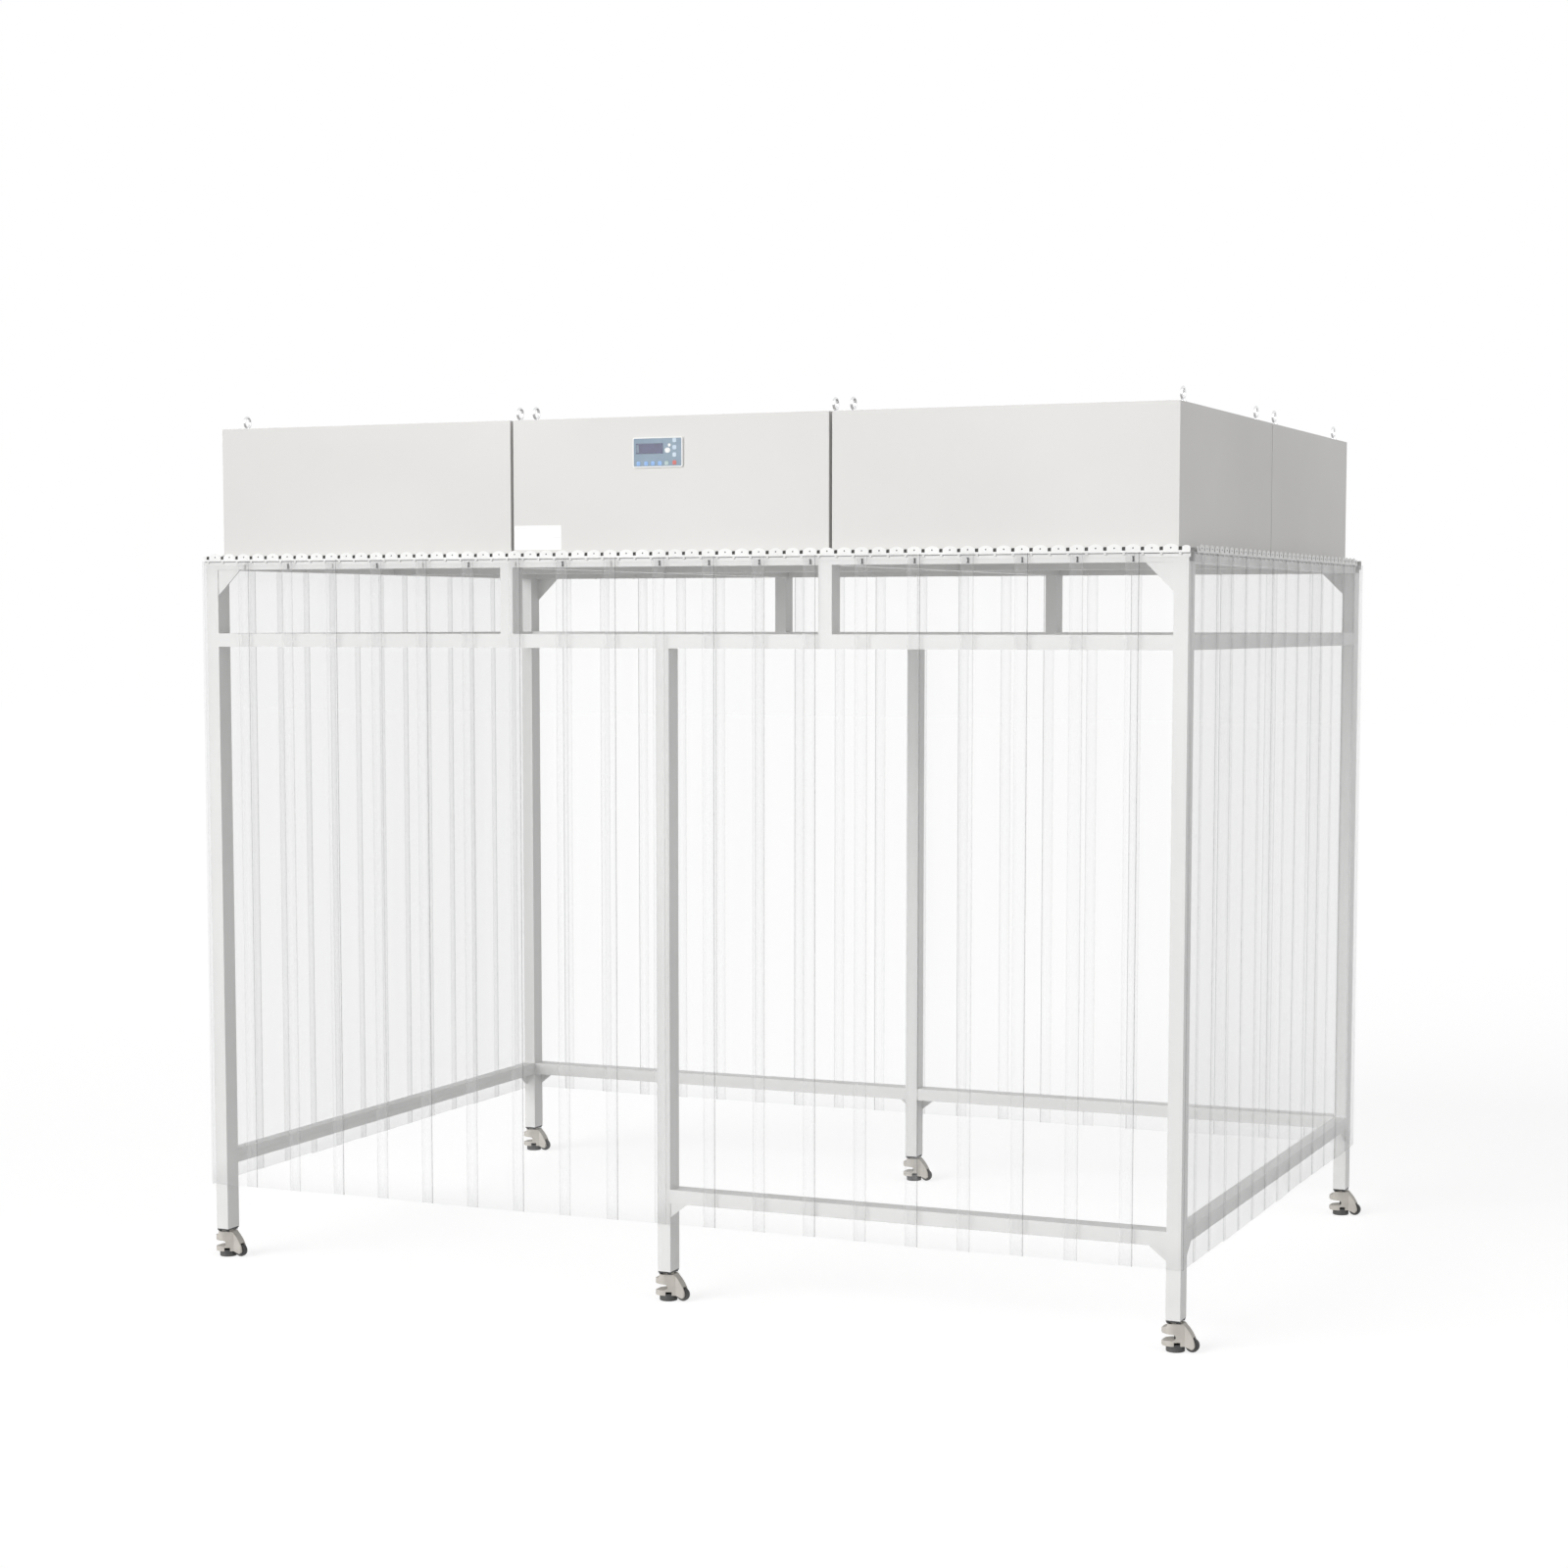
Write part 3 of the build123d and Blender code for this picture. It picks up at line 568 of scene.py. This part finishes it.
hooks = {
    "pitch": 63.4 * mm,
    "shift": -8 * mm,
    "plateFace": 7 * mm,
    "plateHeight": 29 * mm,
    "studRadius": 2.6 * mm,
    "studHeight": 1.0 * mm,
    "studSides": 10,
    "studTaper": 0.6,
    "studBelowTop": 13 * mm,
    "gapShadeWidth": 15 * mm,
    # the next six values size and place dark pads on the beam face behind the gaps between hooks: painted shade
    # of the hollow behind the comb
    "gapShadeHeight": 14 * mm,
    "gapShadeDepth": 2.2 * mm,
    "gapShadeCorner": 4 * mm,
    "gapShadeEdge": 0.4 * mm,
    "gapShadeBelowTop": 16 * mm,
    "lugWidth": 10 * mm,
    "lugHeight": 7 * mm,
    "lugDepth": 4.6 * mm,
    "lugCorner": 2.5 * mm,
    "lugEdge": 1.2 * mm,
    "lugBelowTop": 32.5 * mm,
    # the next five values size and place a grey strip under the hook teeth: painted shadow of the comb
    "shadowLineHeight": 2.5 * mm,
    "shadowLineDepth": 0.6 * mm,
    "shadowLineCorner": 0.5 * mm,
    "shadowLineEdge": 0.1 * mm,
    "shadowLineBelowTop": 30.4 * mm,
    "flange": 2 * mm,
    "clipWidth": 9 * mm,
    "clipHeight": 18 * mm,
    "clipWaist": 4 * mm,
    "waistShare": 0.35,
    "clipDepth": 3 * mm,
    "clipEdge": 0.5 * mm,
    "clipBelowTop": 48 * mm,
    "clipEvery": 3,
    "tabWidth": 18 * mm,
    "tabDrop": 11 * mm,
    "tabDepth": 3 * mm,
    "tabCorner": 4 * mm,
    "tabEdge": 0.8 * mm,
    "tabOverEdge": 3.5 * mm,
    "beamDepth": 75 * mm,
}
hangsOn = {
    "front": "front_and_back_hook_rails",
    "back": "front_and_back_hook_rails",
    "left": "side_hook_rails",
    "right": "side_hook_rails",
}


def hookGaps(side):
    # middles of the gaps between the hooks, along the side, and the rail's half length
    low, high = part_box(hangsOn[side])
    longSide = side in ("front", "back")
    length = high.x - low.x if longSide else high.y - low.y
    shift = hooks["shift"] if longSide else 0.0
    count = round(length / hooks["pitch"])
    return [(n - (count - 1) / 2) * hooks["pitch"] + shift for n in range(count)], length / 2


# Curtains of overlapping clear strips

curtain = {
    "stripWidth": 238 * mm,
    "pitch": 190.2 * mm,
    "thick": 2 * mm,
    "layerGap": 2.5 * mm,
    "clearOfBeam": 7.3 * mm,
    "overHooks": 3 * mm,
    "bow": 2.2 * mm,
    "sway": 2.5 * mm,
    "swayLength": 1.7,
    "stepsAcross": 8,
    "stepsDown": 16,
    "unevenEnds": 5 * mm,
}
filmFinish = clearFilm(curtain["stripWidth"])


def addStrip(bm, middle, start, end, bottom, top, outerEnd, weight):
    # one strip: an upright grid, bowed a little, swaying more towards its foot
    uvLayer = bm.loops.layers.uv["strip"]
    weightLayer = bm.faces.layers.float["line_weight"]
    made = bmesh.ops.create_grid(bm, x_segments=curtain["stepsAcross"], y_segments=curtain["stepsDown"],
                                 size=0.5)["verts"]
    slope = (curtain["thick"] + curtain["layerGap"]) / curtain["pitch"]
    innerEnd = middle - start if outerEnd > 0 else end - middle
    lean = curtain["stripWidth"] * slope
    centre = (curtain["stripWidth"] / 2 - innerEnd) * slope - curtain["clearOfBeam"]
    centre -= (lean + curtain["thick"]) / 2
    for vert in made:
        across, up = vert.co.x + 0.5, vert.co.y + 0.5
        along = start + (end - start) * across
        bow = curtain["bow"] * 4 * across * (1 - across) * (1 - up)
        sway = curtain["sway"] * (1 - up) ** 2 * sin(tau * along / curtain["swayLength"])
        out = centre - (along - middle) * slope * outerEnd - bow + sway
        vert.co = (along, out, bottom + (top - bottom) * up)
    for face in {face for vert in made for face in vert.link_faces}:
        face[weightLayer] = weight
        for loop in face.loops:
            across = (loop.vert.co.x - start) / (end - start)
            if outerEnd < 0:
                across = 1 - across
            loop[uvLayer].uv = (across, loop.vert.co.z)


def makeCurtain(side):
    low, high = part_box(f"{side}_curtain")
    longSide = side in ("front", "back")
    along = 2 * halfLength if longSide else 2 * halfWidth
    limit = (high.x - low.x if longSide else high.y - low.y) / 2
    outerEnd = 1 if longSide else -1
    shift = hooks["shift"] if longSide else 0.0
    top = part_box(hangsOn[side])[1].z - hooks["plateHeight"] + curtain["overHooks"]
    count = ceil(along / curtain["pitch"])
    chance = Random(side)
    bm = bmesh.new()
    bm.loops.layers.uv.new("strip")
    bm.faces.layers.float.new("line_weight")
    for n in range(count):
        middle = (n - (count - 1) / 2) * curtain["pitch"] + shift
        start = max(middle - curtain["stripWidth"] / 2, -limit)
        end = min(middle + curtain["stripWidth"] / 2, limit)
        bottom = low.z + chance.uniform(0, curtain["unevenEnds"])
        weight = film["weakEdge"] if n % 2 else 1.0
        addStrip(bm, middle, start, end, bottom, top, outerEnd, weight)
    bm.transform(onSide(side))
    for face in bm.faces:
        face.smooth = True
    piece = finished(bm, f"{side}_strips", filmFinish)
    wall = piece.modifiers.new("wall", "SOLIDIFY")
    wall.thickness = curtain["thick"]
    wall.offset = 0.0
    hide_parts(f"{side}_curtain")


for side in hangsOn:
    makeCurtain(side)
print("curtains made")

# Small parts of the hook rails, with painted shade behind the hook gaps and a painted shadow under the teeth

def stud():
    bm = bmesh.new()
    bmesh.ops.create_cone(bm, cap_ends=True, segments=hooks["studSides"], radius1=hooks["studRadius"],
                          radius2=hooks["studRadius"] * hooks["studTaper"], depth=hooks["studHeight"])
    bmesh.ops.translate(bm, vec=(0, 0, hooks["studHeight"] / 2), verts=bm.verts)
    shape = bpy.data.meshes.new("stud")
    bm.to_mesh(shape)
    bm.free()
    return shape


def clip():
    # a keeper with two wide ends and a narrow waist
    bm = bmesh.new()
    bmesh.ops.create_grid(bm, x_segments=1, y_segments=5, size=0.5)
    bmesh.ops.scale(bm, vec=(hooks["clipWidth"], hooks["clipHeight"], 1), verts=bm.verts)
    waist = [v for v in bm.verts if abs(v.co.y) < hooks["clipHeight"] * hooks["waistShare"]]
    bmesh.ops.scale(bm, vec=(hooks["clipWaist"] / hooks["clipWidth"], 1, 1), verts=waist)
    made = bmesh.ops.extrude_face_region(bm, geom=bm.faces[:])["geom"]
    lifted = [v for v in made if isinstance(v, bmesh.types.BMVert)]
    bmesh.ops.translate(bm, vec=(0, 0, hooks["clipDepth"]), verts=lifted)
    bmesh.ops.recalc_face_normals(bm, faces=bm.faces)
    upper = [e for e in bm.edges if all(v.co.z > hooks["clipDepth"] / 2 for v in e.verts)]
    rim = [e for e in upper if e.calc_face_angle(0) > 1]
    bmesh.ops.bevel(bm, geom=rim, offset=hooks["clipEdge"], offset_type="OFFSET", segments=2, profile=0.5,
                    affect="EDGES", material=-1)
    shape = bpy.data.meshes.new("clip")
    bm.to_mesh(shape)
    bm.free()
    return shape


def clipTone(tooth, teeth):
    # a clip under every third tooth, by turns pale and dark on the first half and dark on the rest
    lastOfRun = hooks["clipEvery"] - 1
    if tooth % hooks["clipEvery"] != lastOfRun:
        return None
    return "pale" if tooth % (2 * hooks["clipEvery"]) == lastOfRun and tooth < teeth / 2 else "dark"


def dressRails():
    spots = {kind: [] for kind in ("stud", "back", "lug", "pale", "dark", "tab")}
    shadowLines = bmesh.new()
    for side in hangsOn:
        gaps, reach = hookGaps(side)
        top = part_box(hangsOn[side])[1].z
        base = onSide(side)
        inward = base @ Matrix.Rotation(pi, 4, "Z")

        def put(kind, x, out, below):
            spots[kind].append(base @ Matrix.Translation((x, -out, top - below)) @ facing)

        for x in gaps:
            # a dark pad behind each gap: painted shade of the hollow behind the comb
            put("back", x, 0, hooks["gapShadeBelowTop"])
            put("lug", x, hooks["flange"], hooks["lugBelowTop"])
        for tooth in range(len(gaps) - 1):
            x = (gaps[tooth] + gaps[tooth + 1]) / 2
            put("stud", x, hooks["plateFace"], hooks["studBelowTop"])
            kind = clipTone(tooth, len(gaps))
            if kind and side in ("front", "back"):
                put(kind, x, hooks["flange"], hooks["clipBelowTop"])
            if kind and side != "front":
                spot = Matrix.Translation((-x, -hooks["beamDepth"], beamLow.z + hooks["tabOverEdge"]))
                spots["tab"].append(inward @ spot @ facing)
        # a grey strip under the teeth along the rail: painted shadow of the comb
        shadowLine = pad(2 * reach, hooks["shadowLineHeight"], hooks["shadowLineDepth"], hooks["shadowLineCorner"],
                    hooks["shadowLineEdge"], 1)
        line = Matrix.Translation((0, -hooks["flange"], top - hooks["shadowLineBelowTop"]))
        shadowLine.transform(base @ line @ facing)
        shadowLines.from_mesh(shadowLine)
    gapShadeShape = pad(hooks["gapShadeWidth"], hooks["gapShadeHeight"], hooks["gapShadeDepth"], hooks["gapShadeCorner"],
                    hooks["gapShadeEdge"])
    lugShape = pad(hooks["lugWidth"], hooks["lugHeight"], hooks["lugDepth"], hooks["lugCorner"],
                   hooks["lugEdge"])
    tabShape = pad(hooks["tabWidth"], hooks["tabDrop"], hooks["tabDepth"], hooks["tabCorner"],
                   hooks["tabEdge"])
    clipShape = clip()
    finished(stamped(stud(), spots["stud"]), "hook_studs", blackSteel)
    # the dark pads behind the gaps are painted shade
    finished(stamped(gapShadeShape, spots["back"]), "hook_gap_painted_shades", gapShadeDark)
    finished(stamped(lugShape, spots["lug"]), "rail_lugs", hookWhite)
    finished(stamped(clipShape, spots["dark"]), "strip_keepers_dark", blackSteel)
    finished(stamped(clipShape, spots["pale"]), "strip_keepers_pale", casingGrey)
    finished(stamped(tabShape, spots["tab"]), "keeper_tabs", hookWhite)
    # the grey strips under the teeth are painted shadow
    finished(shadowLines, "comb_painted_shadow_lines", combShadowGrey)


dressRails()
print("hook rails dressed")

# Control panel face

panel = {  # display and gauge: middle across and down, width and height, as shares of the panel
    "rim": 4 * mm,
    "recess": 1.2 * mm,
    "sheet": 0.5 * mm,
    "corner": 3 * mm,
    "edge": 0.2 * mm,
    "display": (0.335, 0.375, 0.53, 0.32),
    "displayFrame": 2 * mm,
    "bezelThick": 0.5 * mm,
    "bezelCorner": 1.5 * mm,
    "glassThick": 0.4 * mm,
    "glassCorner": 1 * mm,
    "glassLift": 1 * mm,
    "gauge": (0.10, 0.375, 0.05, 0.26),
    "gaugeThick": 0.3 * mm,
    "gaugeCorner": 0.5 * mm,
    "gaugeEdge": 0.1 * mm,
    "gaugeLift": 1.3 * mm,
    "keySide": 15 * mm,
    "keyCorner": 4 * mm,
    "keyRise": 0.9 * mm,
    "keyEdge": 0.4 * mm,
}
panelLamps = {  # width, height, rise, corner, edge and rounding steps of each lamp, and its middle
    "panel_lamp": ((21 * mm, 18 * mm, 1.2 * mm, 8.5 * mm, 0.6 * mm, 6), (0.70, 0.44)),
    "panel_lamp_small": ((11 * mm, 11 * mm, 1.0 * mm, 5 * mm, 0.5 * mm, 5), (0.735, 0.27)),
}
panelKeys = {
    "pale": [(0.838, 0.115), (0.838, 0.35), (0.838, 0.59)],
    "blue": [(0.115, 0.865), (0.27, 0.865), (0.405, 0.865), (0.545, 0.865)],
    "green": [(0.68, 0.865)],
    "red": [(0.838, 0.85)],
}
panelTones = {
    "pale": (tone(0.60, 0.70, 0.80), tone(0.54, 0.65, 0.76)),
    "blue": (tone(0.20, 0.38, 0.72), tone(0.30, 0.50, 0.82)),
    "green": (tone(0.45, 0.56, 0.56), tone(0.40, 0.52, 0.52)),
    "red": (tone(0.50, 0.08, 0.07), tone(0.62, 0.16, 0.14)),
    "white": (tone(0.86, 0.87, 0.86), tone(0.80, 0.81, 0.80)),
}


def makePanelFace():
    low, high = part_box("control_panel")
    width, height = high.x - low.x, high.z - low.z
    floorY = low.y + panel["recess"]

    def spot(u, v, lift):
        point = (low.x + u * width, floorY - lift, high.z - v * height)
        return Matrix.Translation(point) @ facing

    def lay(shape, name, material, spots, lift):
        places = [spot(u, v, lift) for u, v in spots]
        finished(stamped(shape, places), name, material)

    sheetSize = (width - 2 * panel["rim"], height - 2 * panel["rim"])
    overlay = coated("panel_overlay", tone(0.235, 0.32, 0.40), tone(0.205, 0.285, 0.365), (0.30, 0.40),
                     patch=12.0, peel=900.0)
    lay(pad(*sheetSize, panel["sheet"], panel["corner"], panel["edge"]), "panel_overlay", overlay,
        [(0.5, 0.5)], 0)
    u, v, w, h = panel["display"]
    border = 2 * panel["displayFrame"]
    bezel = coated("display_bezel", tone(0.16, 0.21, 0.28), tone(0.13, 0.18, 0.24), (0.3, 0.4), 30.0, 900.0)
    bezelShape = pad(w * width + border, h * height + border, panel["bezelThick"], panel["bezelCorner"],
                     panel["edge"])
    lay(bezelShape, "display_bezel", bezel, [(u, v)], panel["sheet"])
    glass = coated("display_glass", tone(0.020, 0.026, 0.12), tone(0.014, 0.018, 0.085), (0.08, 0.14),
                   patch=30.0, peel=900.0)
    glassShape = pad(w * width, h * height, panel["glassThick"], panel["glassCorner"], panel["edge"])
    lay(glassShape, "display_glass", glass, [(u, v)], panel["glassLift"])
    u, v, w, h = panel["gauge"]
    gauge = coated("display_gauge", tone(0.14, 0.20, 0.27), tone(0.10, 0.15, 0.22), (0.1, 0.2), 60.0, 900.0)
    gaugeShape = pad(w * width, h * height, panel["gaugeThick"], panel["gaugeCorner"], panel["gaugeEdge"])
    lay(gaugeShape, "display_gauge", gauge, [(u, v)], panel["gaugeLift"])
    keyShape = pad(panel["keySide"], panel["keySide"], panel["keyRise"], panel["keyCorner"],
                   panel["keyEdge"], 4)
    for colour, spots in panelKeys.items():
        finish = coated(f"key_{colour}", *panelTones[colour], (0.3, 0.4), 60.0, 900.0)
        lay(keyShape, f"panel_keys_{colour}", finish, spots, panel["sheet"])
    lamp = coated("lamp_white", *panelTones["white"], (0.2, 0.3), 60.0, 900.0)
    for name, (form, middle) in panelLamps.items():
        lay(pad(*form), name, lamp, [middle], panel["sheet"])


makePanelFace()
print("panel face made")

# Seals in the seam between the two rows of units, at both ends

seal = {
    "width": 11.6 * mm,
    "recess": 1.2 * mm,
    "depth": 6 * mm,
    "corner": 1.5 * mm,
    "edge": 0.5 * mm,
}


def makeSeals():
    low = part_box("front_left_unit_casing")[0]
    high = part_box("back_right_unit_casing")[1]
    shape = pad(seal["width"], high.z - low.z, seal["depth"], seal["corner"], seal["edge"])
    behind = seal["recess"] + seal["depth"] - (high.x - low.x) / 2
    spots = []
    for side in ("left", "right"):
        turned = Matrix.Translation((centreX, 0, 0)) @ Matrix.Rotation(turns[side], 4, "Z")
        spots.append(turned @ Matrix.Translation((0, behind, (low.z + high.z) / 2)) @ facing)
    finished(stamped(shape, spots), "unit_seam_seals", casingGrey)


makeSeals()
print("seams sealed")

# Label without words on the front middle unit, a white plate with three thin rules

label = {
    "width": 188 * mm,
    "height": 86 * mm,
    "thick": 0.5 * mm,
    "corner": 2 * mm,
    "fromLeft": 3 * mm,
    "aboveBeam": 13 * mm,
    "edge": 0.2 * mm,
    "border": 5 * mm,
    "rule": 0.8 * mm,
    "ruleThick": 0.12 * mm,
    "ruleCorner": 0.3 * mm,
    "ruleEdge": 0.05 * mm,
    "ruleRows": (0.12, 0.5, 0.88),
}


def makeLabel():
    low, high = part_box("front_middle_unit_casing")
    x = low.x + label["fromLeft"] + label["width"] / 2
    z = low.z + label["aboveBeam"] + label["height"] / 2
    middle = Matrix.Translation((x, low.y, z)) @ facing
    plate = coated("label_white", tone(0.93, 0.93, 0.93), tone(0.91, 0.91, 0.91), (0.2, 0.3), 10.0, 900.0)
    plateShape = pad(label["width"], label["height"], label["thick"], label["corner"], label["edge"])
    finished(stamped(plateShape, [middle]), "label_plate", plate)
    ink = coated("label_rules", tone(0.66, 0.66, 0.66), tone(0.62, 0.62, 0.62), (0.4, 0.5), 10.0, 900.0)
    ruleWidth = label["width"] - 2 * label["border"]
    shape = pad(ruleWidth, label["rule"], label["ruleThick"], label["ruleCorner"], label["ruleEdge"], 1)
    rows = [
        Matrix.Translation((0, (share - 0.5) * label["height"], label["thick"]))
        for share in label["ruleRows"]
    ]
    finished(stamped(shape, [middle @ row for row in rows]), "label_rules", ink)


makeLabel()
print("label made")
